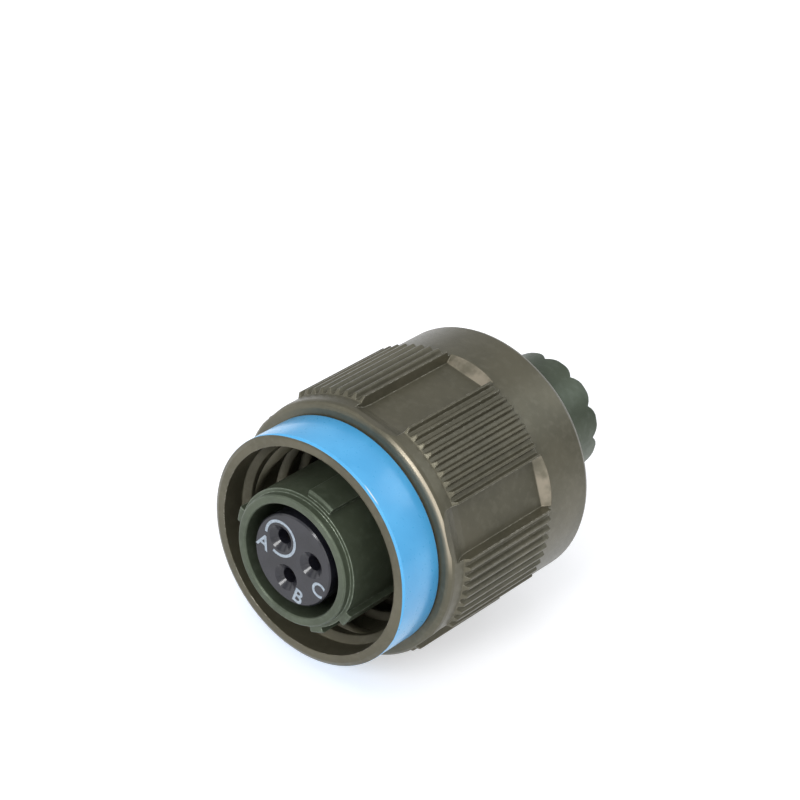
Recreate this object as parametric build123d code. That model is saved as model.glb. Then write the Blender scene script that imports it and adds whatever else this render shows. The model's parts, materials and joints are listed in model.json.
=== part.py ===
from build123d import *
import math
import os

# A small circular plug with three socket contacts, lying on a flat of its coupling nut.
# Sizes are in millimetres. Each piece is first drawn about the Z axis: z runs rearward from
# the front rim of the coupling nut, and angles run from straight up, clockwise as seen from
# the mating face. The last section lays the axis along +Y, with the mating face towards -Y.

# Lengths of the whole plug
NUT_LENGTH = 22.0
BARREL_REACH = 1.87
FLANGE_SETBACK = 9.35
SHELL_RECESS = 1.1
REAR_THREAD_LENGTH = 4.5
TOOTH_RING_LENGTH = 3.2

# Walls and rooms from the insert bore outward
INSERT_BORE_R = 4.75
BARREL_WALL = 0.91
MATE_ROOM = 2.28
CAVITY_STEP = 1.02
RING_GROOVE_DEPTH = 0.64
NUT_WALL = 0.9
RIDGE_HEIGHT = 0.4

# Fits between the pieces
RUNNING_GAP = 0.06
AXIAL_GAP = 0.05
SEAT_GAP = 0.03
SLIP_GAP = 0.02
EDGE_BREAK = 0.12

# Coupling nut, front: rim, colour band and shoulder
RIM_STEP = 0.33
BAND_START = 0.18
BAND_END = 4.05
BAND_STEP = 1.05
BAND_GROOVE_WIDTH = 0.15
BAND_GROOVE_DEPTH = 0.15
SHOULDER_EDGE = 0.5
MOUTH_STEP = 0.57
MOUTH_LENGTH = 2.0
MOUTH_TAPER = 0.5

# Coupling nut, grip: ridged pads with a smooth flat between each two
GRIP_COUNT = 6
PAD_START = 5.75
REAR_COLLAR_LENGTH = 6.0
RIDGES_PER_PAD = 9
RIDGE_PITCH_DEG = 4.51
RIDGE_CREST_DEG = 1.0
RIDGE_FOOT_DEG = 2.7
RIDGE_ROOT_STEP = 0.05
PAD_FRONT_RAMP = 0.35
PAD_REAR_RAMP = 0.15
FLAT_DEPTH = 0.76
FLAT_LEAD_DEPTH = 0.1
FLAT_RUN_IN = 0.35
FLAT_SETBACK = 0.15
FLAT_SHOULDER_LENGTH = 0.75
FLAT_OVERLAP_DEG = 0.2
REAR_TAPER_LENGTH = 1.05
REAR_TAPER_DEPTH = 1.0
REAR_EDGE = 0.15

# Coupling nut, inside
THREAD_RELIEF_DEPTH = 0.2
THREAD_RELIEF_LENGTH = 1.2
SPRING_POCKET_DEPTH = 0.54

# Plug shell, barrel and keys
BARREL_BORE_STEP = 0.12
BARREL_LIP_STEP = 0.31
BARREL_LIP_LENGTH = 0.67
KEY_HEIGHT = 0.49
KEY_ROOT = 0.3
MASTER_KEY_ANGLE = 7.0
MASTER_KEY_WIDTH_DEG = 23.0
MASTER_KEY_SETBACK = 0.97
MINOR_KEY_OFFSETS = (105, 140, 215, 265)
MINOR_KEY_WIDTH_DEG = 12.0
GROUND_GROOVE_SETBACK = 9.07
GROUND_GROOVE_WIDTH = 3.1
GROUND_GROOVE_DEPTH = 0.41
KEY_LAND = 0.2
GROUND_GROOVE_LAND = 0.6
BARREL_ROOT_RISE = 0.94
BARREL_ROOT_RAMP = 0.6

# Plug shell, ratchet flange and rear end
RATCHET_WIDTH = 2.15
RATCHET_COUNT = 36
RATCHET_TOOTH_HEIGHT = 0.3
GUIDE_WIDTH = 1.4
FLANGE_HEIGHT = 1.0
SHELL_NECK_RAMP = 0.7
REAR_WALL = 0.7
TOOTH_RING_STEP = 0.2
TOOTH_COUNT = 12
TOOTH_ANGLE = 3.0
TOOTH_DEPTH = 0.57
TOOTH_NOTCH_WIDTH = 1.9

# Plug shell, inside
STOP_LIP_HEIGHT = 0.45
STOP_LIP_SETBACK = 6.27
STOP_LIP_WIDTH = 0.6
INSERT_RING_GROOVE_DEPTH = 0.3

# Nut retention
WASHER_THICKNESS = 0.65
WASHER_BORE_GAP = 0.15
RETAINING_RING_THICKNESS = 0.95
RETAINING_RING_BORE_GAP = 0.4
RETAINING_RING_GAP_DEG = 24.0

# Detent springs
DETENT_COUNT = 3
DETENT_ANGLE = 30.0
DETENT_THICKNESS = 0.2
DETENT_WIDTH = 1.7
DETENT_ROOM = 0.5
DETENT_DIMPLE_R = 0.45
DETENT_BITE = 0.15
DETENT_SIDE_GAP = 0.25

# Grounding ring
GROUND_STRIP = 0.12
GROUND_BAND_WIDTH = 0.8
GROUND_FINGER_HEIGHT = 0.39
GROUND_FINGERS = 16
GROUND_SLOT_WIDTH = 0.36

# Contacts, from the socket bore outward
CONTACT_COUNT = 3
CONTACT_CIRCLE_R = 1.86
CONTACT_A_ANGLE = -52.9
SOCKET_BORE_R = 0.52
SOCKET_BORE_DEPTH = 5.5
SOCKET_WALL = 0.22
SOCKET_SLOT_WIDTH = 0.14
SOCKET_LENGTH = 6.5
CONTACT_LENGTH = 20.3
SHOULDER_HEIGHT = 0.3
SHOULDER_LENGTH = 1.5
CRIMP_WALL = 0.31
CRIMP_BORE_DEPTH = 5.5
INSPECTION_HOLE_R = 0.25
INSPECTION_HOLE_SETBACK = 0.6
HOOD_SHEET = 0.14
HOOD_LIP_LENGTH = 0.2
HOOD_NOSE_LENGTH = 0.75

# Insert stack
INSERT_RECESS = 0.2
NOSE_GAP = 0.54
FRONT_INSERT_LENGTH = 13.67
ENTRY_EASE = 0.08
ENTRY_LEAD = 0.5
ENTRY_MOUTH_DEPTH = 0.43
ENTRY_LENGTH = 1.3
HOOD_SETBACK = 0.67
REAR_INSERT_LENGTH = 4.9
REAR_INSERT_WEB = 0.55
SHOULDER_PASS_GAP = 0.08
INSERT_RING_THICKNESS = 0.55
INSERT_RING_WIDTH = 1.1
INSERT_RING_GAP_DEG = 20.0
GROMMET_RECESS = 1.0
GROMMET_RIB_R = 0.6
GROMMET_RIB_PITCH = 1.9
GROMMET_RIB_WIDTH = 1.2
GROMMET_RIBS = 2

# Retention clips
CLIP_SHEET = 0.12
CLIP_ROOM = 0.1
CLIP_LENGTH = 4.2
CLIP_SLOT_WIDTH = 0.5
CLIP_TINE_DEG = 64.0
CLIP_TINE_GAP = 0.07

# Radii that follow from the sizes above
BARREL_BORE_R = INSERT_BORE_R - BARREL_BORE_STEP
BARREL_R = INSERT_BORE_R + BARREL_WALL
BARREL_LIP_R = BARREL_R - BARREL_LIP_STEP
KEY_R = BARREL_R + KEY_HEIGHT
GROUND_GROOVE_R = BARREL_R - GROUND_GROOVE_DEPTH
GROUND_FINGER_R = BARREL_R + GROUND_FINGER_HEIGHT
BARREL_ROOT_R = BARREL_R + BARREL_ROOT_RISE
COUPLING_THREAD_R = BARREL_R + MATE_ROOM
MOUTH_R = COUPLING_THREAD_R + MOUTH_STEP
CAVITY_R = COUPLING_THREAD_R + CAVITY_STEP
SPRING_POCKET_R = CAVITY_R + SPRING_POCKET_DEPTH
RING_GROOVE_R = CAVITY_R + RING_GROOVE_DEPTH
NUT_BODY_R = RING_GROOVE_R + NUT_WALL
BAND_R = NUT_BODY_R - BAND_STEP
RIM_R = BAND_R - RIM_STEP
RIDGE_R = NUT_BODY_R + RIDGE_HEIGHT
DETENT_BEAM_R = SPRING_POCKET_R - DETENT_ROOM
RATCHET_CREST_R = DETENT_BEAM_R - DETENT_THICKNESS - DETENT_DIMPLE_R + DETENT_BITE
RATCHET_ROOT_R = RATCHET_CREST_R - RATCHET_TOOTH_HEIGHT
GUIDE_R = CAVITY_R - RUNNING_GAP
SHELL_BODY_R = GUIDE_R - FLANGE_HEIGHT
REAR_THREAD_ROOT_R = INSERT_BORE_R + REAR_WALL
TOOTH_RING_R = REAR_THREAD_ROOT_R - TOOTH_RING_STEP
STOP_LIP_R = INSERT_BORE_R - STOP_LIP_HEIGHT
INSERT_NOSE_R = STOP_LIP_R - NOSE_GAP
INSERT_RING_R = INSERT_BORE_R + INSERT_RING_GROOVE_DEPTH - AXIAL_GAP
INSERT_RING_BORE_R = INSERT_RING_R - INSERT_RING_WIDTH
SOCKET_R = SOCKET_BORE_R + SOCKET_WALL
HOOD_R = SOCKET_R + SLIP_GAP + HOOD_SHEET
SHOULDER_R = HOOD_R + SHOULDER_HEIGHT
CRIMP_BARREL_R = HOOD_R - SLIP_GAP
ENTRY_R = SOCKET_BORE_R + ENTRY_EASE
ENTRY_MOUTH_R = ENTRY_R + ENTRY_LEAD
CONTACT_CAVITY_R = HOOD_R + AXIAL_GAP
CLIP_R = SHOULDER_R + CLIP_ROOM + CLIP_SHEET
CLIP_CAVITY_R = CLIP_R + SEAT_GAP
SHOULDER_PASS_R = SHOULDER_R + SHOULDER_PASS_GAP

# Stations along z that follow from the sizes above
COLLAR_START = BAND_END + BAND_GROOVE_WIDTH
PAD_END = NUT_LENGTH - REAR_COLLAR_LENGTH
FLAT_END = PAD_END - FLAT_SETBACK
FLANGE_FRONT = NUT_LENGTH - FLANGE_SETBACK
CAVITY_START = FLANGE_FRONT - AXIAL_GAP
RATCHET_END = FLANGE_FRONT + RATCHET_WIDTH
FLANGE_REAR = RATCHET_END + GUIDE_WIDTH
WASHER_START = FLANGE_REAR + AXIAL_GAP
RING_GROOVE_START = WASHER_START + WASHER_THICKNESS + AXIAL_GAP
RING_GROOVE_END = RING_GROOVE_START + RETAINING_RING_THICKNESS + AXIAL_GAP
SHELL_BODY_END = NUT_LENGTH - SHELL_RECESS
REAR_THREAD_END = SHELL_BODY_END + SHELL_NECK_RAMP + REAR_THREAD_LENGTH
SHELL_END = REAR_THREAD_END + TOOTH_RING_LENGTH
BARREL_TIP = -BARREL_REACH
BARREL_LIP_END = BARREL_TIP + BARREL_LIP_LENGTH
GROUND_GROOVE_START = BARREL_TIP + GROUND_GROOVE_SETBACK
GROUND_GROOVE_END = GROUND_GROOVE_START + GROUND_GROOVE_WIDTH
KEY_END = GROUND_GROOVE_START - KEY_LAND
STOP_LIP_START = BARREL_TIP + STOP_LIP_SETBACK
STOP_LIP_END = STOP_LIP_START + STOP_LIP_WIDTH
INSERT_FACE_Z = BARREL_TIP + INSERT_RECESS
ENTRY_END = INSERT_FACE_Z + ENTRY_LENGTH
FRONT_INSERT_END = INSERT_FACE_Z + FRONT_INSERT_LENGTH
REAR_INSERT_START = FRONT_INSERT_END + SEAT_GAP
REAR_INSERT_END = REAR_INSERT_START + REAR_INSERT_LENGTH
INSERT_RING_START = REAR_INSERT_END + SEAT_GAP
INSERT_RING_END = INSERT_RING_START + INSERT_RING_THICKNESS
GROMMET_END = SHELL_END - GROMMET_RECESS
HOOD_START = ENTRY_END + HOOD_SETBACK
CONTACT_FRONT = HOOD_START + HOOD_NOSE_LENGTH
SHANK_START = CONTACT_FRONT + SOCKET_LENGTH
SHOULDER_START = FRONT_INSERT_END + AXIAL_GAP
SHOULDER_END = SHOULDER_START + SHOULDER_LENGTH
CONTACT_REAR = CONTACT_FRONT + CONTACT_LENGTH

# Angles and places that follow from the sizes above
SEGMENT_DEG = 360 / GRIP_COUNT
LAST_CREST_DEG = (RIDGES_PER_PAD - 1) / 2 * RIDGE_PITCH_DEG + RIDGE_CREST_DEG / 2
FLAT_WIDTH_DEG = SEGMENT_DEG - 2 * LAST_CREST_DEG + 2 * FLAT_OVERLAP_DEG
REST_HEIGHT = RIDGE_R * math.cos(math.radians(FLAT_WIDTH_DEG / 2))
MIDDLE_Z = (SHELL_END - BARREL_REACH) / 2
CLEAR = 2.0


def turned(*outline, arc=360):
    """Solid of revolution about Z, from the (radius, z) corners of its half section."""
    points = [(radius, 0, z) for radius, z in outline]
    return revolve(make_face(Polyline(*points, close=True)), Axis.Z, arc)


def sector(centre, width, *outline):
    """Part of a turned ring, width degrees wide about the angle centre."""
    return Rot(0, 0, centre - width / 2) * turned(*outline, arc=width)


def polar(radius, degrees):
    turn = math.radians(degrees)
    return (radius * math.cos(turn), radius * math.sin(turn))


def prism(points, start, end):
    """Straight prism between two stations, from an outline of (x, y) points."""
    face = make_face(Polyline(*points, close=True))
    return Pos(0, 0, start) * extrude(face, amount=end - start, dir=(0, 0, 1))


def angles(count, first=0.0):
    return [first + step * 360 / count for step in range(count)]


def contact_places():
    """Contacts a, b and c, counter-clockwise as seen from the mating face."""
    turns = angles(CONTACT_COUNT, -CONTACT_A_ANGLE)
    return [Pos(*polar(CONTACT_CIRCLE_R, -turn)) for turn in turns]


def ridged_ring():
    """Cross-section of the six pads: flat-topped ridges with flat-bottomed grooves between them."""
    root_r = NUT_BODY_R + RIDGE_ROOT_STEP
    below_body_r = NUT_BODY_R - FLAT_DEPTH / 4
    last = (RIDGES_PER_PAD - 1) / 2
    points = []
    for centre in angles(GRIP_COUNT, SEGMENT_DEG / 2):
        foot = last * RIDGE_PITCH_DEG + RIDGE_FOOT_DEG / 2
        points.append(polar(below_body_r, centre - foot))
        for ridge in range(RIDGES_PER_PAD):
            middle = centre + (ridge - last) * RIDGE_PITCH_DEG
            points.append(polar(root_r, middle - RIDGE_FOOT_DEG / 2))
            points.append(polar(RIDGE_R, middle - RIDGE_CREST_DEG / 2))
            points.append(polar(RIDGE_R, middle + RIDGE_CREST_DEG / 2))
            points.append(polar(root_r, middle + RIDGE_FOOT_DEG / 2))
        points.append(polar(below_body_r, centre + foot))
    return points


def flat_cutter():
    """What one flat takes away: a plane with a run-in at the front and a shoulder at the rear."""
    top = NUT_BODY_R + SLIP_GAP
    outside = RIDGE_R + CLEAR
    bottom = NUT_BODY_R - FLAT_DEPTH
    lead = NUT_BODY_R - FLAT_LEAD_DEPTH
    run = PAD_START - COLLAR_START
    profile = make_face(Polyline(
        (lead, 0, COLLAR_START - CLEAR / 10),
        (lead - FLAT_DEPTH / 6, 0, COLLAR_START + run / 2),
        (bottom + FLAT_DEPTH / 3, 0, PAD_START - FLAT_RUN_IN / 2),
        (bottom + FLAT_DEPTH / 12, 0, PAD_START + FLAT_RUN_IN),
        (bottom, 0, PAD_START + 3 * FLAT_RUN_IN),
        (bottom, 0, FLAT_END),
        (top, 0, FLAT_END + FLAT_SHOULDER_LENGTH),
        (outside, 0, FLAT_END + FLAT_SHOULDER_LENGTH),
        (outside, 0, COLLAR_START - CLEAR / 10),
        close=True,
    ))
    slab = Pos(0, -outside, 0) * extrude(profile, amount=2 * outside, dir=(0, 1, 0))
    reach = 2 * outside
    wedge = [(0, 0), polar(reach, -FLAT_WIDTH_DEG / 2), polar(reach, FLAT_WIDTH_DEG / 2)]
    return slab & prism(wedge, 0, NUT_LENGTH)


def make_coupling_nut():
    relief_start = CAVITY_START - THREAD_RELIEF_LENGTH
    relief_r = COUPLING_THREAD_R + THREAD_RELIEF_DEPTH
    taper_start = NUT_LENGTH - REAR_TAPER_LENGTH
    nut = turned(
        (MOUTH_R, 0),
        (RIM_R, 0),
        (BAND_R, BAND_START),
        (BAND_R, BAND_END),
        (BAND_R - BAND_GROOVE_DEPTH, BAND_END),
        (BAND_R - BAND_GROOVE_DEPTH, COLLAR_START),
        (NUT_BODY_R - SHOULDER_EDGE, COLLAR_START),
        (NUT_BODY_R - SHOULDER_EDGE / 2, COLLAR_START + SHOULDER_EDGE / 8),
        (NUT_BODY_R - SHOULDER_EDGE / 8, COLLAR_START + SHOULDER_EDGE / 2),
        (NUT_BODY_R, COLLAR_START + SHOULDER_EDGE),
        (NUT_BODY_R, taper_start - REAR_EDGE),
        (NUT_BODY_R - REAR_EDGE, taper_start + REAR_EDGE),
        (NUT_BODY_R - REAR_TAPER_DEPTH, NUT_LENGTH),
        (CAVITY_R, NUT_LENGTH),
        (CAVITY_R, RING_GROOVE_END),
        (RING_GROOVE_R, RING_GROOVE_END),
        (RING_GROOVE_R, RING_GROOVE_START),
        (CAVITY_R, RING_GROOVE_START),
        (CAVITY_R, CAVITY_START),
        (relief_r, CAVITY_START),
        (relief_r, relief_start),
        (COUPLING_THREAD_R, relief_start - THREAD_RELIEF_DEPTH),
        (COUPLING_THREAD_R, MOUTH_LENGTH + MOUTH_TAPER),
        (MOUTH_R, MOUTH_LENGTH),
    )
    pad_envelope = turned(
        (NUT_BODY_R - FLAT_DEPTH / 8, PAD_START),
        (NUT_BODY_R, PAD_START),
        (RIDGE_R, PAD_START + PAD_FRONT_RAMP),
        (RIDGE_R + CLEAR, PAD_START + PAD_FRONT_RAMP),
        (RIDGE_R + CLEAR, PAD_END - PAD_REAR_RAMP),
        (RIDGE_R, PAD_END - PAD_REAR_RAMP),
        (NUT_BODY_R, PAD_END),
        (NUT_BODY_R - FLAT_DEPTH / 8, PAD_END),
    )
    nut += prism(ridged_ring(), PAD_START, PAD_END) & pad_envelope
    cutter = flat_cutter()
    for angle in angles(GRIP_COUNT):
        nut -= Rot(0, 0, angle) * cutter
    pocket_width = 2 * math.degrees(math.acos(DETENT_BEAM_R / SPRING_POCKET_R)) + 1
    for angle in angles(DETENT_COUNT, DETENT_ANGLE):
        nut -= sector(
            angle,
            pocket_width,
            (CAVITY_R - RUNNING_GAP, CAVITY_START),
            (SPRING_POCKET_R, CAVITY_START),
            (SPRING_POCKET_R, RING_GROOVE_START + AXIAL_GAP),
            (CAVITY_R - RUNNING_GAP, RING_GROOVE_START + AXIAL_GAP),
        )
    return nut


def make_plug_shell():
    ring_depth_r = INSERT_BORE_R + INSERT_RING_GROOVE_DEPTH
    ramp_start = GROUND_GROOVE_END + GROUND_GROOVE_LAND
    shell = turned(
        (BARREL_BORE_R + EDGE_BREAK, BARREL_TIP),
        (BARREL_LIP_R - EDGE_BREAK, BARREL_TIP),
        (BARREL_LIP_R, BARREL_TIP + EDGE_BREAK),
        (BARREL_LIP_R, BARREL_LIP_END),
        (BARREL_R, BARREL_LIP_END),
        (BARREL_R, GROUND_GROOVE_START),
        (GROUND_GROOVE_R, GROUND_GROOVE_START),
        (GROUND_GROOVE_R, GROUND_GROOVE_END),
        (BARREL_R, GROUND_GROOVE_END),
        (BARREL_R, ramp_start),
        (BARREL_ROOT_R, ramp_start + BARREL_ROOT_RAMP),
        (BARREL_ROOT_R, FLANGE_FRONT),
        (RATCHET_ROOT_R, FLANGE_FRONT),
        (RATCHET_ROOT_R, RATCHET_END),
        (GUIDE_R, RATCHET_END),
        (GUIDE_R, FLANGE_REAR),
        (SHELL_BODY_R, FLANGE_REAR),
        (SHELL_BODY_R, SHELL_BODY_END),
        (REAR_THREAD_ROOT_R, SHELL_BODY_END + SHELL_NECK_RAMP),
        (REAR_THREAD_ROOT_R, REAR_THREAD_END),
        (TOOTH_RING_R, REAR_THREAD_END),
        (TOOTH_RING_R, SHELL_END),
        (INSERT_BORE_R, SHELL_END),
        (INSERT_BORE_R, INSERT_RING_END + SLIP_GAP),
        (ring_depth_r, INSERT_RING_END + SLIP_GAP),
        (ring_depth_r, INSERT_RING_START - SLIP_GAP),
        (INSERT_BORE_R, INSERT_RING_START - SLIP_GAP),
        (INSERT_BORE_R, STOP_LIP_END),
        (STOP_LIP_R, STOP_LIP_END),
        (STOP_LIP_R, STOP_LIP_START),
        (BARREL_BORE_R, STOP_LIP_START),
        (BARREL_BORE_R, BARREL_TIP + EDGE_BREAK),
    )
    shell += make_keys()
    shell += make_ratchet_teeth()
    for angle in angles(TOOTH_COUNT, TOOTH_ANGLE + 180 / TOOTH_COUNT):
        shell -= Rot(0, 0, angle) * rear_notch()
    return shell


def make_keys():
    """One wide master key and the narrow ones set round from it."""
    keys = [(MASTER_KEY_ANGLE, MASTER_KEY_WIDTH_DEG, BARREL_TIP + MASTER_KEY_SETBACK)]
    for offset in MINOR_KEY_OFFSETS:
        keys.append((MASTER_KEY_ANGLE + offset, MINOR_KEY_WIDTH_DEG, BARREL_LIP_END))
    ribs = []
    for angle, width, start in keys:
        ribs.append(sector(
            angle,
            width,
            (BARREL_R - KEY_ROOT, start),
            (KEY_R - EDGE_BREAK, start),
            (KEY_R, start + EDGE_BREAK),
            (KEY_R, KEY_END),
            (BARREL_R - KEY_ROOT, KEY_END),
        ))
    return ribs


def make_ratchet_teeth():
    """Toothed ring with a valley at each multiple of the tooth pitch."""
    points = []
    pitch = 360 / RATCHET_COUNT
    for angle in angles(RATCHET_COUNT):
        points.append(polar(RATCHET_ROOT_R + SLIP_GAP, angle))
        points.append(polar(RATCHET_CREST_R, angle + pitch * 0.45))
        points.append(polar(RATCHET_CREST_R, angle + pitch * 0.55))
    core = Cylinder(BARREL_ROOT_R, 3 * SHELL_END)
    return prism(points, FLANGE_FRONT, RATCHET_END) - core


def rear_notch():
    """Prism lying along +X, which cuts one notch with flared sides between two rear teeth."""
    half = TOOTH_NOTCH_WIDTH / 2
    side = [(1.12, -0.07), (1.0, 0.0), (0.64, 0.17), (0.3, 0.52)]
    corners = [(0, -half * width, SHELL_END - TOOTH_DEPTH * depth) for width, depth in side]
    corners.append((0, 0, SHELL_END - TOOTH_DEPTH))
    corners += [(0, half * width, SHELL_END - TOOTH_DEPTH * depth) for width, depth in reversed(side)]
    face = make_face(Polyline(*corners, close=True))
    return extrude(face, amount=TOOTH_RING_R + CLEAR, dir=(1, 0, 0))


def make_thrust_washer():
    bore_r = SHELL_BODY_R + WASHER_BORE_GAP
    outer_r = CAVITY_R - RUNNING_GAP
    end = WASHER_START + WASHER_THICKNESS
    return turned((bore_r, WASHER_START), (outer_r, WASHER_START), (outer_r, end), (bore_r, end))


def open_ring(bore_r, outer_r, start, end, gap):
    """Snap ring with a gap of the given degrees at its lowest point."""
    return sector(0, 360 - gap, (bore_r, start), (outer_r, start), (outer_r, end), (bore_r, end))


def make_nut_retaining_ring():
    start = RING_GROOVE_START + SLIP_GAP
    end = start + RETAINING_RING_THICKNESS
    bore_r = SHELL_BODY_R + RETAINING_RING_BORE_GAP
    return open_ring(bore_r, RING_GROOVE_R - AXIAL_GAP, start, end, RETAINING_RING_GAP_DEG)


def make_detent_spring(angle):
    """Straight leaf across a pocket of the nut, with a hollow dimple at its middle."""
    reach_r = SPRING_POCKET_R - SEAT_GAP
    half_length = math.sqrt(reach_r**2 - DETENT_BEAM_R**2)
    inner_face = DETENT_BEAM_R - DETENT_THICKNESS
    beam = Pos(DETENT_BEAM_R - DETENT_THICKNESS / 2, 0) * Rectangle(DETENT_THICKNESS, 2 * half_length)
    dimple = Pos(inner_face, 0) * Circle(DETENT_DIMPLE_R)
    hollow = Pos(inner_face, 0) * Circle(DETENT_DIMPLE_R - DETENT_THICKNESS)
    behind = Pos(DETENT_BEAM_R + CLEAR / 2, 0) * Rectangle(CLEAR, 2 * CLEAR)
    face = beam + dimple - hollow - behind
    start = FLANGE_FRONT + DETENT_SIDE_GAP
    leaf = Pos(0, 0, start) * extrude(face, amount=DETENT_WIDTH, dir=(0, 0, 1))
    return Rot(0, 0, angle) * leaf


def make_grounding_ring():
    """Bent strip: a closed band at the rear, and arched fingers that run forward from it."""
    front = GROUND_GROOVE_START + AXIAL_GAP
    rear = GROUND_GROOVE_END - AXIAL_GAP
    bend = rear - GROUND_BAND_WIDTH
    crown = (front + bend) / 2
    inner = GROUND_GROOVE_R + SLIP_GAP
    outer = inner + GROUND_STRIP
    crown_inner = GROUND_FINGER_R - GROUND_STRIP
    ring = turned(
        (inner, rear),
        (inner, bend),
        (crown_inner, crown + GROUND_STRIP),
        (crown_inner, crown - GROUND_STRIP),
        (inner + GROUND_STRIP / 2, front),
        (outer + GROUND_STRIP / 2, front),
        (GROUND_FINGER_R, crown - GROUND_STRIP),
        (GROUND_FINGER_R, crown + GROUND_STRIP),
        (outer, bend),
        (outer, rear),
    )
    slot_length = bend - front + EDGE_BREAK
    slot = Box(KEY_R, GROUND_SLOT_WIDTH, slot_length, align=(Align.MIN, Align.CENTER, Align.MIN))
    slot = Pos(BARREL_BORE_R, 0, front - EDGE_BREAK) * slot
    for angle in angles(GROUND_FINGERS):
        ring -= Rot(0, 0, angle) * slot
    return ring


def make_front_insert():
    seat = STOP_LIP_END + SEAT_GAP
    body_r = INSERT_BORE_R - AXIAL_GAP
    insert = turned(
        (0, INSERT_FACE_Z),
        (INSERT_NOSE_R - EDGE_BREAK, INSERT_FACE_Z),
        (INSERT_NOSE_R, INSERT_FACE_Z + EDGE_BREAK),
        (INSERT_NOSE_R, seat),
        (body_r, seat),
        (body_r, FRONT_INSERT_END),
        (0, FRONT_INSERT_END),
    )
    hole = turned(
        (0, INSERT_FACE_Z - CLEAR),
        (ENTRY_MOUTH_R, INSERT_FACE_Z - CLEAR),
        (ENTRY_MOUTH_R, INSERT_FACE_Z),
        (ENTRY_R, INSERT_FACE_Z + ENTRY_MOUTH_DEPTH),
        (ENTRY_R, ENTRY_END),
        (CONTACT_CAVITY_R, ENTRY_END),
        (CONTACT_CAVITY_R, FRONT_INSERT_END + CLEAR),
        (0, FRONT_INSERT_END + CLEAR),
    )
    for place in contact_places():
        insert -= place * hole
    return insert


def make_rear_insert():
    body_r = INSERT_BORE_R - AXIAL_GAP
    insert = turned(
        (0, REAR_INSERT_START),
        (body_r, REAR_INSERT_START),
        (body_r, REAR_INSERT_END),
        (0, REAR_INSERT_END),
    )
    web_start = REAR_INSERT_END - REAR_INSERT_WEB
    hole = turned(
        (0, REAR_INSERT_START - CLEAR),
        (CLIP_CAVITY_R, REAR_INSERT_START - CLEAR),
        (CLIP_CAVITY_R, web_start),
        (SHOULDER_PASS_R, web_start),
        (SHOULDER_PASS_R, REAR_INSERT_END + CLEAR),
        (0, REAR_INSERT_END + CLEAR),
    )
    for place in contact_places():
        insert -= place * hole
    return insert


def make_insert_retaining_ring():
    return open_ring(
        INSERT_RING_BORE_R, INSERT_RING_R, INSERT_RING_START, INSERT_RING_END, INSERT_RING_GAP_DEG
    )


def make_wire_grommet():
    """Rubber plug: a neck inside the retaining ring, and a body whose holes hold sealing ribs."""
    start = REAR_INSERT_END + SEAT_GAP
    neck_r = INSERT_RING_BORE_R - AXIAL_GAP
    body_start = INSERT_RING_END + SEAT_GAP
    body_r = INSERT_BORE_R - SEAT_GAP
    grommet = turned(
        (0, start),
        (neck_r, start),
        (neck_r, body_start),
        (body_r, body_start),
        (body_r, GROMMET_END),
        (0, GROMMET_END),
    )
    wall = [(0, start - CLEAR), (CONTACT_CAVITY_R, start - CLEAR)]
    first_rib = GROMMET_END - GROMMET_RIBS * GROMMET_RIB_PITCH
    for rib in range(GROMMET_RIBS):
        foot = first_rib + rib * GROMMET_RIB_PITCH
        wall.append((CONTACT_CAVITY_R, foot))
        wall.append((GROMMET_RIB_R, foot + GROMMET_RIB_WIDTH / 2))
        wall.append((CONTACT_CAVITY_R, foot + GROMMET_RIB_WIDTH))
    wall.append((CONTACT_CAVITY_R, GROMMET_END + CLEAR))
    wall.append((0, GROMMET_END + CLEAR))
    hole = turned(*wall)
    for place in contact_places():
        grommet -= place * hole
    return grommet


def make_socket_contact():
    contact = turned(
        (0, CONTACT_FRONT),
        (SOCKET_R, CONTACT_FRONT),
        (SOCKET_R, SHANK_START),
        (HOOD_R, SHANK_START),
        (HOOD_R, SHOULDER_START),
        (SHOULDER_R, SHOULDER_START),
        (SHOULDER_R, SHOULDER_END),
        (CRIMP_BARREL_R, SHOULDER_END),
        (CRIMP_BARREL_R, CONTACT_REAR),
        (0, CONTACT_REAR),
    )
    from_front = (Align.CENTER, Align.CENTER, Align.MIN)
    from_rear = (Align.CENTER, Align.CENTER, Align.MAX)
    front = Pos(0, 0, CONTACT_FRONT)
    contact -= front * Cylinder(SOCKET_BORE_R, SOCKET_BORE_DEPTH, align=from_front)
    crimp_bore = Cylinder(CRIMP_BARREL_R - CRIMP_WALL, CRIMP_BORE_DEPTH, align=from_rear)
    contact -= Pos(0, 0, CONTACT_REAR) * crimp_bore
    slot_length = SOCKET_BORE_DEPTH - EDGE_BREAK
    slot = Box(2 * HOOD_R, SOCKET_SLOT_WIDTH, slot_length, align=from_front)
    contact -= front * slot
    contact -= front * Rot(0, 0, 90) * slot
    port = Rot(0, 90, 0) * Cylinder(INSPECTION_HOLE_R, CLEAR, align=from_front)
    contact -= Pos(0, 0, CONTACT_REAR - CRIMP_BORE_DEPTH + INSPECTION_HOLE_SETBACK) * port
    return contact


def make_contact_hood():
    """Thin sleeve, turned in at the front so that a bent pin can't spread the tines."""
    bore_r = HOOD_R - HOOD_SHEET
    lip_r = ENTRY_R + SLIP_GAP
    lip_end = HOOD_START + HOOD_LIP_LENGTH
    end = SHANK_START - SEAT_GAP
    return turned(
        (lip_r, HOOD_START),
        (HOOD_R, HOOD_START),
        (HOOD_R, end),
        (bore_r, end),
        (bore_r, lip_end),
        (lip_r, lip_end),
    )


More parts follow.
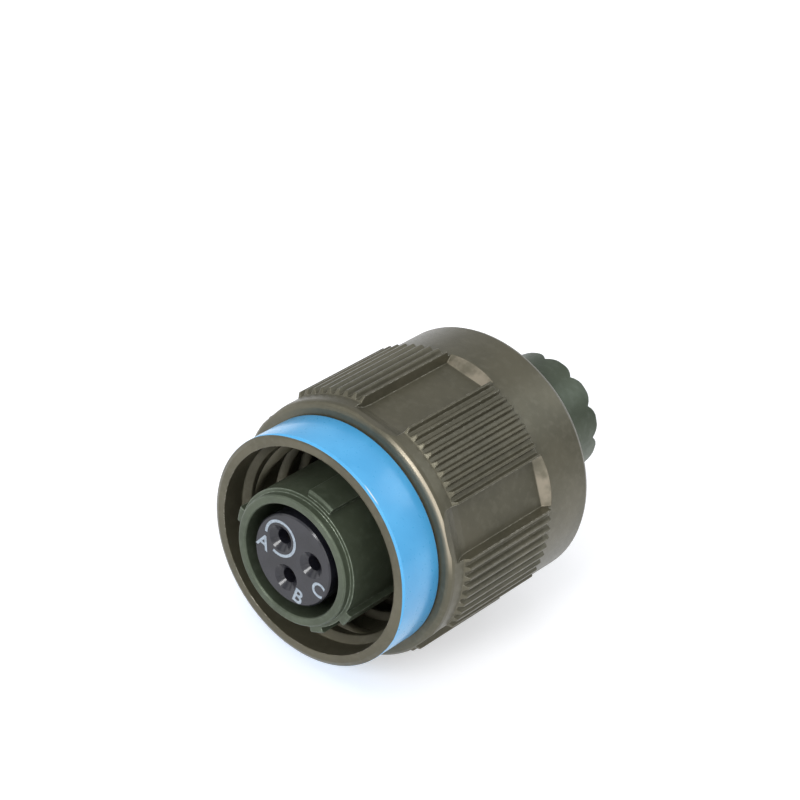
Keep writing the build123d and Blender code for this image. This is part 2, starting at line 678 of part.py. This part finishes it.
def make_retention_clip():
    """Rolled sleeve with a slot, and three tines that lean forward onto the contact's shoulder."""
    start = REAR_INSERT_START + AXIAL_GAP
    end = start + CLIP_LENGTH
    inner_r = CLIP_R - CLIP_SHEET
    clip = turned((inner_r, start), (CLIP_R, start), (CLIP_R, end), (inner_r, end))
    tip_r = CRIMP_BARREL_R + CLIP_TINE_GAP
    tip = SHOULDER_END + AXIAL_GAP
    root = end - CLIP_SHEET
    for angle in angles(3):
        clip += sector(
            angle,
            CLIP_TINE_DEG,
            (tip_r, tip),
            (tip_r + CLIP_SHEET, tip),
            (CLIP_R - CLIP_SHEET / 2, root - 2 * CLIP_SHEET),
            (CLIP_R - CLIP_SHEET / 2, root),
        )
    slot = Box(2 * CLIP_R, CLIP_SLOT_WIDTH, 3 * CLIP_LENGTH, align=(Align.MIN, Align.CENTER, Align.MIN))
    return clip - Rot(0, 0, 180 / 3) * Pos(0, 0, start - CLIP_LENGTH) * slot


def pieces():
    """Every piece by name, drawn about the Z axis."""
    made = {
        "coupling_nut": make_coupling_nut(),
        "nut_retaining_ring": make_nut_retaining_ring(),
        "thrust_washer": make_thrust_washer(),
        "plug_shell": make_plug_shell(),
        "grounding_ring": make_grounding_ring(),
        "front_insert": make_front_insert(),
        "rear_insert": make_rear_insert(),
        "insert_retaining_ring": make_insert_retaining_ring(),
        "wire_grommet": make_wire_grommet(),
    }
    for letter, angle in zip("abc", angles(DETENT_COUNT, DETENT_ANGLE)):
        made["detent_spring_" + letter] = make_detent_spring(angle)
    contact = make_socket_contact()
    hood = make_contact_hood()
    clip = make_retention_clip()
    for letter, place in zip("abc", contact_places()):
        made["socket_contact_" + letter] = place * contact
        made["contact_hood_" + letter] = place * hood
        made["retention_clip_" + letter] = place * clip
    return made


# The axis lies along +Y at the height at which two outer ridges touch the ground
lying = Location(Plane(origin=(0, -MIDDLE_Z, REST_HEIGHT), x_dir=(0, 0, 1), z_dir=(0, 1, 0)))

os.makedirs("parts", exist_ok=True)
for name, piece in pieces().items():
    export_step(lying * piece, "parts/" + name + ".step")
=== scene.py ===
import json
import math

import bmesh
import bpy
from mathutils import Matrix, Vector


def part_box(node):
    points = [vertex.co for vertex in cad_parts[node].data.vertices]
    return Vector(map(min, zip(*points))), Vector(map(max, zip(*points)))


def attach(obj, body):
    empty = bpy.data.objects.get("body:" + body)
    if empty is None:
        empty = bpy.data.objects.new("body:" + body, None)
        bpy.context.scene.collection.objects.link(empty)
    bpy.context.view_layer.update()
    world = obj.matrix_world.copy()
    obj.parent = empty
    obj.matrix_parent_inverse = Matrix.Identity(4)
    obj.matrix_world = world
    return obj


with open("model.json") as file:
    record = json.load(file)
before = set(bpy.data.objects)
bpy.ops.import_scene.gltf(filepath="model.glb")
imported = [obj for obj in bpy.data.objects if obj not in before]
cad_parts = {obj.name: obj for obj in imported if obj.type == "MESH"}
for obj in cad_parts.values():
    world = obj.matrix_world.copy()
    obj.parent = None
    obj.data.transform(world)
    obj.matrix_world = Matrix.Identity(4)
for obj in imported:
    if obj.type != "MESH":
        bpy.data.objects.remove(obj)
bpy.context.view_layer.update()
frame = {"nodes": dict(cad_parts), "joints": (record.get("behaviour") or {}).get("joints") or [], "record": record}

# Places on the plug are given as in the CAD source: z runs rearward from the nut's front rim and
# angles run from straight up, clockwise as seen from the mating face, in mm and degrees.
MM_PER_M = 1000
AXIS_HEIGHT = frame["joints"][0]["pos_m"][2] * MM_PER_M
RIM_OFFSET = -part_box("coupling_nut")[0].y * MM_PER_M


def spot(radius, angle, z):
    """A place on the plug, as a point of the row frame in metres."""
    turn = math.radians(angle)
    across = radius * math.sin(turn)
    up = AXIS_HEIGHT + radius * math.cos(turn)
    return Vector((across, z - RIM_OFFSET, up)) / MM_PER_M


def placed(point, right, up, out):
    """A matrix that lays local x, y and z along three directions from a point."""
    return Matrix.Translation(point) @ Matrix((right, up, out)).transposed().to_4x4()


def add(name, data):
    made = bpy.data.objects.new(name, data)
    bpy.context.scene.collection.objects.link(made)
    return made


# Materials

WHITE = (1, 1, 1)
BEVEL_SAMPLES = 8
# The bevelled normal's dot product with the real one, where an edge or a corner starts to count
# and where it counts in full
EDGE_DOTS = (0.98, 0.84)
CORNER_DOTS = (0.81, 0.66)
# A normal's y, where a face starts to count as looking to the front and where it does in full
FRONT_FACING = (-0.25, -0.6)
# The stretch of a noise's values over which a colour or a roughness goes from one end to the other
COLOR_RANGE = (0.35, 0.65)
GLOSS_RANGE = (0.3, 0.7)
# How far a metal's roughness drifts down and up
SMOOTHER, ROUGHER = -0.05, 0.07


class NodeMaterial:
    """A material's node tree, with short ways to add nodes and to fill their sockets."""

    def __init__(self, name):
        self.material = bpy.data.materials.new(name)
        self.material.use_nodes = True
        self.tree = self.material.node_tree

    def node(self, kind, **properties):
        made = self.tree.nodes.new(kind)
        for key, value in properties.items():
            setattr(made, key, value)
        return made

    def set(self, node, socket, value):
        if isinstance(value, bpy.types.NodeSocket):
            self.tree.links.new(value, node.inputs[socket])
        else:
            node.inputs[socket].default_value = value

    def math(self, operation, first, second):
        made = self.node("ShaderNodeMath", operation=operation)
        self.set(made, 0, first)
        self.set(made, 1, second)
        return made.outputs[0]

    def times(self, first, second):
        return self.math("MULTIPLY", first, second)


class Shader(NodeMaterial):
    """A Principled material with patterns in millimetres of the object's own space."""

    def __init__(self, name, color, roughness, metallic=0.0, **settings):
        super().__init__(name)
        self.bsdf = self.tree.nodes["Principled BSDF"]
        self.set(self.bsdf, "Base Color", (*color, 1))
        self.set(self.bsdf, "Roughness", roughness)
        self.set(self.bsdf, "Metallic", metallic)
        for socket, value in settings.items():
            self.set(self.bsdf, socket.replace("_", " "), value)
        origin = self.node("ShaderNodeTexCoord")
        scale = self.node("ShaderNodeVectorMath", operation="SCALE")
        self.set(scale, 0, origin.outputs["Object"])
        self.set(scale, "Scale", MM_PER_M)
        self.place = scale.outputs[0]
        self.soft_normal = None

    def stretched(self, factors):
        made = self.node("ShaderNodeVectorMath", operation="MULTIPLY")
        self.set(made, 0, self.place)
        self.set(made, 1, factors)
        return made.outputs[0]

    def noise(self, scale, detail, vector=None):
        made = self.node("ShaderNodeTexNoise")
        self.set(made, "Vector", vector or self.place)
        self.set(made, "Scale", scale)
        self.set(made, "Detail", detail)
        return made.outputs["Fac"]

    def ramp(self, value, low, high, to_low=0.0, to_high=1.0):
        made = self.node("ShaderNodeMapRange", interpolation_type="SMOOTHSTEP")
        for socket, given in enumerate((value, low, high, to_low, to_high)):
            self.set(made, socket, given)
        return made.outputs[0]

    def mix(self, amount, first, second):
        made = self.node("ShaderNodeMix", data_type="RGBA")
        for socket, value in ((0, amount), (6, first), (7, second)):
            if isinstance(value, tuple):
                value = (*value, 1)
            self.set(made, socket, value)
        return made.outputs[2]

    def drift(self, noise, first, second):
        """Drifts between two colours with a noise."""
        return self.mix(self.ramp(noise, *COLOR_RANGE), first, second)

    def edges(self, radius):
        """Rounds sharp edges for the light, and tells where edges and where corners are."""
        soft = self.node("ShaderNodeBevel", samples=BEVEL_SAMPLES)
        self.set(soft, "Radius", radius / MM_PER_M)
        self.soft_normal = soft.outputs[0]
        surface = self.node("ShaderNodeNewGeometry")
        same = self.node("ShaderNodeVectorMath", operation="DOT_PRODUCT")
        self.set(same, 0, self.soft_normal)
        self.set(same, 1, surface.outputs["Normal"])
        value = same.outputs["Value"]
        return self.ramp(value, *EDGE_DOTS), self.ramp(value, *CORNER_DOTS)

    def parts(self, vector):
        made = self.node("ShaderNodeSeparateXYZ")
        self.set(made, 0, vector)
        return made.outputs

    def behind(self, z, blend):
        """From 0 to 1 where the place along the axis passes z, within blend to each side of it."""
        middle = z - RIM_OFFSET
        return self.ramp(self.parts(self.place)["Y"], middle - blend, middle + blend)

    def before(self, z, blend):
        return self.math("SUBTRACT", 1.0, self.behind(z, blend))

    def towards(self, angle, low, high):
        """From 0 to 1 where the reach from the plug's axis towards angle grows from low to high."""
        turn = math.radians(angle)
        parts = self.parts(self.place)
        across = self.times(parts["X"], math.sin(turn))
        height = self.math("SUBTRACT", parts["Z"], AXIS_HEIGHT)
        reach = self.math("ADD", across, self.times(height, math.cos(turn)))
        return self.ramp(reach, low, high)

    def facing_front(self):
        surface = self.node("ShaderNodeNewGeometry")
        return self.ramp(self.parts(surface.outputs["Normal"])["Y"], *FRONT_FACING)

    def bump(self, height, strength, distance):
        made = self.node("ShaderNodeBump")
        self.set(made, "Height", height)
        self.set(made, "Strength", strength)
        self.set(made, "Distance", distance / MM_PER_M)
        if self.soft_normal is not None:
            self.set(made, "Normal", self.soft_normal)
        self.set(self.bsdf, "Normal", made.outputs[0])

    def finish(self, tone, gloss_noise, smoothest, roughest):
        """Sets the colour, and a roughness that drifts with a noise."""
        self.set(self.bsdf, "Base Color", tone)
        rough = self.ramp(gloss_noise, *GLOSS_RANGE, smoothest, roughest)
        self.set(self.bsdf, "Roughness", rough)


# How far the ends of a zone of painted highlight and wear blend, how much paler rubbed edges are than
# pale plating, and how much smoother worn corners are
ZONE_BLEND = 0.07
RUBBED_GAIN = 1.8
WORN_GLOSS = 0.12


def plated(name, color, pale, dark, bare, edge_wear, corner_wear, roughness, highlight_and_wear_zones=()):
    """Satin plating over machined aluminium, paler along its edges and worn through at its corners.

    A zone painted paler, as a painted highlight, as wear, or as both, is (first z, last z, side or
    None, colour), on faces that look to the front. A side is (angle, reach where it starts, reach
    where it is full); it keeps a painted highlight to the angle where the light's reflection falls.
    Without one, a noise thins the zone.
    """
    s = Shader(name, color, roughness, metallic=0.45)
    edge, corner = s.edges(0.16)
    cloud = s.noise(0.22, 4)
    mottle = s.noise(1.6, 5)
    fine = s.noise(14, 3)
    grain = s.noise(5, 4, s.stretched((0.6, 6, 0.6)))
    patches = s.noise(2.2, 4)
    tone = s.drift(cloud, dark, color)
    tone = s.mix(s.ramp(mottle, 0.45, 0.7, 0, 0.35), tone, pale)
    rubbed = s.times(edge, s.ramp(patches, 0.3, 0.62, 0.3 * edge_wear, edge_wear))
    tone = s.mix(rubbed, tone, tuple(RUBBED_GAIN * value for value in pale))
    worn = s.times(corner, s.ramp(patches, 0.46, 0.6, 0, corner_wear))
    # Zones painted paler: painted highlights, painted reflections and wear
    for first, last, side, thin in highlight_and_wear_zones:
        inside = s.times(s.behind(first, ZONE_BLEND), s.before(last, ZONE_BLEND))
        inside = s.times(inside, s.facing_front())
        uneven = s.towards(*side) if side else s.ramp(s.noise(0.7, 3), 0.36, 0.64, 0.15, 1.0)
        inside = s.times(inside, uneven)
        tone = s.mix(inside, tone, thin)
    tone = s.mix(worn, tone, bare)
    s.set(s.bsdf, "Base Color", tone)
    rough = s.math("ADD", s.ramp(grain, *GLOSS_RANGE, SMOOTHER, ROUGHER), roughness)
    rough = s.math("SUBTRACT", rough, s.times(worn, WORN_GLOSS))
    s.set(s.bsdf, "Roughness", rough)
    s.bump(s.math("ADD", s.times(grain, 0.7), s.times(fine, 0.5)), 0.25, 0.03)
    return s.material


def make_nut_olive():
    return plated(
        "nut_olive",
        color=(0.118, 0.108, 0.072),
        pale=(0.15, 0.139, 0.098),
        dark=(0.095, 0.088, 0.058),
        bare=(0.6, 0.57, 0.5),
        edge_wear=0.2,
        corner_wear=0.9,
        roughness=0.36,
        highlight_and_wear_zones=(
            # A painted highlight: a pale streak on the front edge of the collar behind the band, on the upper
            # right
            (4.25, 4.5, (43, 8.4, 10.0), (0.4, 0.35, 0.26)),
            # The shoulders behind the flats, painted paler: wear, and a painted reflection of the light
            (15.85, 16.6, None, (0.27, 0.235, 0.175)),
        ),
    )


def make_shell_olive():
    return plated(
        "shell_olive",
        color=(0.082, 0.1, 0.066),
        pale=(0.115, 0.138, 0.102),
        dark=(0.062, 0.077, 0.05),
        bare=(0.5, 0.52, 0.46),
        edge_wear=0.7,
        corner_wear=0.6,
        roughness=0.38,
    )


def make_band_blue():
    s = Shader("band_blue", (0.074, 0.4, 0.75), 0.33, Coat_Weight=0.4, Coat_Roughness=0.16)
    edge, _ = s.edges(0.06)
    cloud = s.noise(0.3, 3)
    specks = s.noise(9, 3)
    tone = s.drift(cloud, (0.064, 0.38, 0.72), (0.084, 0.425, 0.78))
    scuff = s.times(s.ramp(specks, 0.68, 0.78, 0, 0.6), s.ramp(cloud, 0.5, 0.62))
    tone = s.mix(scuff, tone, (0.3, 0.6, 0.85))
    rubbed = s.times(edge, s.ramp(specks, 0.42, 0.6, 0, 0.5))
    tone = s.mix(rubbed, tone, (0.4, 0.68, 0.88))
    # A painted glint: a pale spot on the paint's front border, on the upper right
    painted_glint = s.times(s.towards(27, 9.4, 9.45), s.before(0.22, 0.05))
    tone = s.mix(painted_glint, tone, (0.75, 0.78, 0.8))
    s.finish(tone, s.noise(3, 4), 0.27, 0.4)
    s.bump(s.noise(2.5, 3), 0.12, 0.03)
    return s.material


def make_insert_grey():
    s = Shader("insert_grey", (0.012, 0.012, 0.017), 0.35, Coat_Weight=0.4, Coat_Roughness=0.09,
               Specular_IOR_Level=0.35)
    edge, _ = s.edges(0.04)
    fine = s.noise(18, 3)
    tone = s.drift(s.noise(0.6, 4), (0.008, 0.008, 0.012), (0.015, 0.015, 0.021))
    tone = s.mix(s.times(edge, 0.25), tone, (0.11, 0.11, 0.13))
    s.finish(tone, fine, 0.27, 0.42)
    s.bump(fine, 0.15, 0.012)
    return s.material


def make_grommet_rubber():
    s = Shader("grommet_rubber", (0.03, 0.04, 0.05), 0.62)
    fine = s.noise(11, 4)
    tone = s.drift(s.noise(0.8, 4), (0.03, 0.038, 0.046), (0.052, 0.062, 0.072))
    s.finish(tone, fine, 0.55, 0.72)
    s.bump(fine, 0.3, 0.03)
    return s.material


def make_metal(name, color, pale, roughness, grain_stretch):
    s = Shader(name, color, roughness, metallic=1.0)
    s.edges(0.04)
    grain = s.noise(8, 4, s.stretched(grain_stretch))
    tone = s.drift(s.noise(0.9, 4), color, pale)
    s.finish(tone, grain, roughness + SMOOTHER, roughness + ROUGHER)
    s.bump(grain, 0.06, 0.015)
    return s.material


def make_marking_white():
    s = Shader("marking_white", (0.34, 0.4, 0.46), 0.55)
    ink = s.noise(7, 4)
    s.finish(s.drift(ink, (0.27, 0.32, 0.37), (0.4, 0.46, 0.52)), ink, 0.45, 0.65)
    s.bump(ink, 0.2, 0.01)
    return s.material


finishes = {
    "nut_olive": make_nut_olive(),
    "shell_olive": make_shell_olive(),
    "insert_grey": make_insert_grey(),
    "grommet_rubber": make_grommet_rubber(),
    "contact_gold": make_metal(
        "contact_gold", (0.78, 0.53, 0.2), (0.86, 0.64, 0.3), 0.3, (1, 5, 1)),
    "plated_spring_alloy": make_metal(
        "plated_spring_alloy", (0.52, 0.5, 0.44), (0.64, 0.61, 0.54), 0.32, (1, 4, 1)),
    "spring_steel": make_metal(
        "spring_steel", (0.42, 0.42, 0.42), (0.55, 0.55, 0.54), 0.34, (4, 1, 4)),
    "band_blue": make_band_blue(),
    "marking_white": make_marking_white(),
}

for part in frame["record"]["subparts"]:
    slots = frame["nodes"][part["node"]].data.materials
    slots.clear()
    slots.append(finishes[part["material_slot"]])


# Pieces

# Steps in a full turn, and in the arc of ink
LATHE_STEPS = 192
THREAD_STEPS = 96
ARC_STEPS = 64
# The angle over which a thread's height fades at its ends, and the share of it that is left
THREAD_FADE = 30
FADED_HEIGHT = 0.02


def piece(name, vertices, faces, finish, body, smooth=35):
    """A mesh in the row frame that rides on a body."""
    mesh = bpy.data.meshes.new(name)
    mesh.from_pydata([tuple(vertex) for vertex in vertices], [], faces)
    mesh.update()
    shaped = bmesh.new()
    shaped.from_mesh(mesh)
    bmesh.ops.recalc_face_normals(shaped, faces=shaped.faces)
    shaped.to_mesh(mesh)
    shaped.free()
    made = add(name, mesh)
    mesh.materials.append(finishes[finish])
    mesh.shade_smooth()
    mesh.set_sharp_from_angle(angle=math.radians(smooth))
    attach(made, body)


def swept_faces(sections, count, closed=False):
    """Faces over a row of sections with count corners each, joined to a ring or with end caps."""
    faces = []
    for step in range(sections if closed else sections - 1):
        here, there = step * count, (step + 1) % sections * count
        for corner in range(count):
            after = (corner + 1) % count
            faces.append((here + corner, here + after, there + after, there + corner))
    if not closed:
        faces.append(tuple(range(count)))
        faces.append(tuple((sections - 1) * count + corner for corner in range(count)))
    return faces


def lathe(name, profile_at, finish, body):
    """A closed ring about the plug's axis. profile_at gives its (radius, z) corners at an angle."""
    vertices = []
    for step in range(LATHE_STEPS):
        angle = step * 360 / LATHE_STEPS
        for radius, z in profile_at(angle):
            vertices.append(spot(radius, angle, z))
    faces = swept_faces(LATHE_STEPS, len(profile_at(0)), closed=True)
    piece(name, vertices, faces, finish, body)


def helix(name, section, start, end, lead, first, finish, body):
    """A thread ridge that winds from z start, at the angle first, to z end.

    Its section is the radius of its foot, that of its crest, and its corners, each a share of the
    height and a z offset. Corners with a negative share lie inside the wall.
    """
    foot, crest, corners = section
    turns = (end - start) / lead
    steps = int(turns * THREAD_STEPS)
    vertices = []
    for step in range(steps + 1):
        angle = step / THREAD_STEPS * 360
        left = min(angle, turns * 360 - angle) / THREAD_FADE
        grow = max(FADED_HEIGHT, min(1, left))
        for height, offset in corners:
            radius = foot + (crest - foot) * (height * grow if height > 0 else height)
            vertices.append(spot(radius, first + angle, start + lead * angle / 360 + offset))
    faces = swept_faces(steps + 1, len(corners))
    piece(name, vertices, faces, finish, body, smooth=40)


# The paint on the nut's front band. The band meets the rim's bevel at its front corner.
BAND_RADIUS = 9.45
PAINT = 0.012
BEVEL_SLOPE = 0.18 / 0.33
# How far the paint creeps over the bevel, and the angle where it creeps most. It does so up to
# CREEP_END degrees from there, and fades over the last CREEP_FADE of them.
CREEP = 0.19
CREEP_MIDDLE = 28
CREEP_END = 80
CREEP_FADE = 35
# The creep from which the paint's front corner is thin
THIN_CREEP = 0.04


def paint_profile(angle):
    """The band's paint. Its border creeps over the rim's bevel on the upper right."""
    off = abs((angle - CREEP_MIDDLE + 180) % 360 - 180)
    share = min(1, max(0, (CREEP_END - off) / CREEP_FADE))
    creep = CREEP * share * share * (3 - 2 * share)
    lift = min(1, creep / THIN_CREEP)
    drop = BEVEL_SLOPE * creep
    return [
        (9.43 - creep, 0.2 - drop),
        (9.451 - creep, 0.186 - drop - 0.014 * lift),
        (9.457, 0.19 - 0.02 * lift),
        (BAND_RADIUS + PAINT, 0.22),
        (BAND_RADIUS + PAINT, 3.98),
        (9.44 + PAINT, 4.04),
        (9.4, 4.05),
        (9.4, 0.3),
    ]


lathe("colour_band", paint_profile, "band_blue", "nut")

# Triple-start coupling thread inside the nut
COUPLING_STARTS = "abc"
COUPLING_LEAD = 7.62
coupling_section = (7.97, 7.33, [
    (-0.05, -0.5), (0.1, -0.47), (0.88, -0.24), (1.0, -0.16),
    (1.0, 0.16), (0.88, 0.24), (0.1, 0.47), (-0.05, 0.5),
])
for number, start_letter in enumerate(COUPLING_STARTS):
    first_angle = 20 + 360 // len(COUPLING_STARTS) * number
    helix("coupling_thread_" + start_letter, coupling_section, 3.2, 10.7, COUPLING_LEAD,
          first_angle, "nut_olive", "nut")

# Thread for the backshell on the shell's rear end
REAR_PITCH = 1.0
rear_section = (5.42, 6.0, [
    (-0.05, -0.46), (0.03, -0.44), (0.9, -0.1), (1.0, -0.06),
    (1.0, 0.06), (0.9, 0.1), (0.03, 0.44), (-0.05, 0.46),
])
helix("rear_thread", rear_section, 22.0, 25.7, REAR_PITCH, 80, "shell_olive", "shell")


# Markings on the insert's face

FACE_Z = -1.67
LETTER_SIZE = 1.72
LETTER_TURN = 7
STROKE_WIDENING = 0.03
CURVE_STEPS = 6
INK = 0.012


def flat_on_face(radius, angle):
    """Lays a letter's x and y on the insert's face, turned like the master key."""
    turn = math.radians(LETTER_TURN)
    right = Vector((math.cos(turn), 0, -math.sin(turn)))
    up = Vector((math.sin(turn), 0, math.cos(turn)))
    return placed(spot(radius, angle, FACE_Z), right, up, Vector((0, -1, 0)))


def letter(text, radius, angle):
    """A letter of ink on the insert's face."""
    name = "marking_" + text
    shape = bpy.data.curves.new(name, "FONT")
    shape.body = text
    shape.size = LETTER_SIZE / MM_PER_M
    shape.align_x = "CENTER"
    shape.align_y = "CENTER"
    shape.offset = STROKE_WIDENING / MM_PER_M
    shape.extrude = INK / MM_PER_M
    shape.resolution_u = CURVE_STEPS
    drawn = add(name, shape)
    bpy.context.view_layer.update()
    mesh = bpy.data.meshes.new_from_object(drawn)
    bpy.data.objects.remove(drawn)
    mesh.transform(flat_on_face(radius, angle))
    mesh.materials.clear()
    mesh.materials.append(finishes["marking_white"])
    made = add(name, mesh)
    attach(made, "shell")


def arc(name, centre, radius, width, first, last):
    """A stroke of ink on the insert's face round a place on it, angles clockwise from the top."""
    half = width / 2
    section = ((-half, INK), (half, INK), (half, -INK), (-half, -INK))
    vertices = []
    for step in range(ARC_STEPS + 1):
        turn = math.radians(first + (last - first) * step / ARC_STEPS)
        way = Vector((math.sin(turn), 0, math.cos(turn)))
        for reach, lift in section:
            flat = centre + way * (radius + reach) / MM_PER_M
            vertices.append(flat + Vector((0, -lift / MM_PER_M, 0)))
    faces = swept_faces(ARC_STEPS + 1, len(section))
    piece(name, vertices, faces, "marking_white", "shell")


letter("A", 2.95, -94.5)
letter("B", 3.02, 156.5)
letter("C", 2.97, 108.5)
arc("marking_arc", spot(1.86, -52.9, FACE_Z), 1.43, 0.23, -100, 197)


# Stage

FLOOR_COLOR = (0.78, 0.78, 0.8)
FLOOR_GLOW = 0.45
FLOOR_HALF = 3.0
LAMP_TARGET = Vector((0, 0, 0.01))
SKY_COLOR = (0.95, 0.97, 1)
SKY_STRENGTH = 0.58

# The camera that was fitted to the photo: its place from the rim's centre, its axes and its lens
CAMERA_PLACE = Vector((0.0997148, -0.1473333, 0.1455833))
CAMERA_RIGHT = Vector((0.74102093, 0.64355406, 0.19164069))
CAMERA_UP = Vector((-0.50956131, 0.35307625, 0.78465561))
CAMERA_BACK = Vector((0.43730453, -0.67909892, 0.58956714))
LENS = 137.544
SENSOR_WIDTH = 36
CLIP_START = 0.01


def make_floor():
    """A pale floor that takes shadows and glows a little for the camera and in reflections."""
    s = NodeMaterial("floor_white")
    s.tree.nodes.clear()
    lit = s.node("ShaderNodeBsdfDiffuse")
    s.set(lit, "Color", (*FLOOR_COLOR, 1))
    ray = s.node("ShaderNodeLightPath").outputs
    direct = s.math("MAXIMUM", ray["Is Camera Ray"], ray["Is Glossy Ray"])
    shown = s.math("MAXIMUM", direct, ray["Is Transmission Ray"])
    glow = s.node("ShaderNodeEmission")
    s.set(glow, "Color", (*WHITE, 1))
    s.set(glow, "Strength", s.times(shown, FLOOR_GLOW))
    both = s.node("ShaderNodeAddShader")
    s.set(both, 0, lit.outputs[0])
    s.set(both, 1, glow.outputs[0])
    s.set(s.node("ShaderNodeOutputMaterial"), "Surface", both.outputs[0])
    mesh = bpy.data.meshes.new("floor")
    corners = [(-1, -1), (1, -1), (1, 1), (-1, 1)]
    mesh.from_pydata([(FLOOR_HALF * x, FLOOR_HALF * y, 0) for x, y in corners], [], [(0, 1, 2, 3)])
    mesh.materials.append(s.material)
    floor = add("floor", mesh)


def lamp(name, place, size, power, color=WHITE):
    light = bpy.data.lights.new(name, "AREA")
    light.shape = "DISK"
    light.size = size
    light.energy = power
    light.color = color
    made = add(name, light)
    made.location = place
    aim = LAMP_TARGET - Vector(place)
    made.rotation_euler = aim.to_track_quat("-Z", "Y").to_euler()


make_floor()
lamp("lamp_key", (0.04, -0.44, 0.3), 0.15, 1.0)
lamp("lamp_top", (-0.06, -0.08, 0.46), 0.5, 0.55)
lamp("lamp_left", (-0.34, -0.2, 0.2), 0.24, 0.15)
lamp("lamp_right", (0.36, -0.34, 0.2), 0.36, 0.55)
lamp("lamp_rear", (0.14, 0.42, 0.3), 0.3, 0.35, (0.88, 0.94, 1))

world = bpy.data.worlds.new("studio")
bpy.context.scene.world = world
world.use_nodes = True
sky = world.node_tree.nodes["Background"]
sky.inputs["Color"].default_value = (*SKY_COLOR, 1)
sky.inputs["Strength"].default_value = SKY_STRENGTH

camera_data = bpy.data.cameras.new("camera")
camera_data.lens = LENS
camera_data.sensor_width = SENSOR_WIDTH
camera_data.clip_start = CLIP_START
camera = add("camera", camera_data)
camera.matrix_world = placed(
    spot(0, 0, 0) + CAMERA_PLACE, CAMERA_RIGHT, CAMERA_UP, CAMERA_BACK)
bpy.context.scene.camera = camera

bpy.context.scene.view_settings.view_transform = "Standard"
